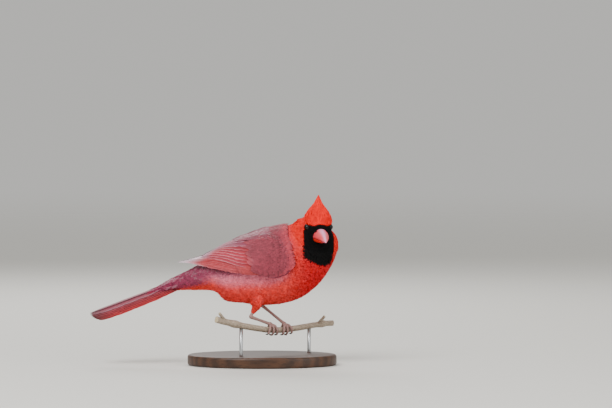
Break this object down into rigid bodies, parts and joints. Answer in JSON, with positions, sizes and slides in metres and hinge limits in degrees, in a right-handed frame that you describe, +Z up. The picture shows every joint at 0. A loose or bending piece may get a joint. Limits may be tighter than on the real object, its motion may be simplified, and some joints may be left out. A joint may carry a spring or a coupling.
{
  "type": "northern cardinal model",
  "caption": "Life-size display model of a male northern cardinal: crested red songbird with black face mask, perched on a cut vine above an oval wooden stand.",
  "frame": {"origin": "centre of the underside of the stand's base, in metres", "axes": "+X from the tail towards the breast, +Y to the bird's left, +Z up; the head looks out over the bird's right side, towards -Y"},
  "size_m": [0.2069, 0.084, 0.1416],
  "materials": {
    "plumage": "soft body feathers, bright red above, black round the bill",
    "wing": "layered flight feathers and coverts, dusky rose and red with pale edges",
    "tail": "long tail feathers, dusky red with brighter edges",
    "bill": "satin coral horn",
    "eye": "polished near-black eye",
    "leg": "scaled pinkish brown skin",
    "vine": "dry greyish tan bark",
    "wood": "dark satin varnish",
    "steel": "brushed"
  },
  "bodies": {
    "root": {"torso": "plumage", "neck": "plumage", "head": "plumage", "thigh_left": "plumage", "thigh_right": "plumage", "wing_left": "wing", "wing_right": "wing", "tail": "tail", "bill_upper": "bill", "bill_lower": "bill", "eye_left": "eye", "eye_right": "eye", "tarsus_left": "leg", "tarsus_right": "leg", "foot_left": "leg", "foot_right": "leg", "perch": "vine", "stand_base": "wood", "stand_rod_front": "steel", "stand_rod_rear": "steel"}
  },
  "joints": []
}
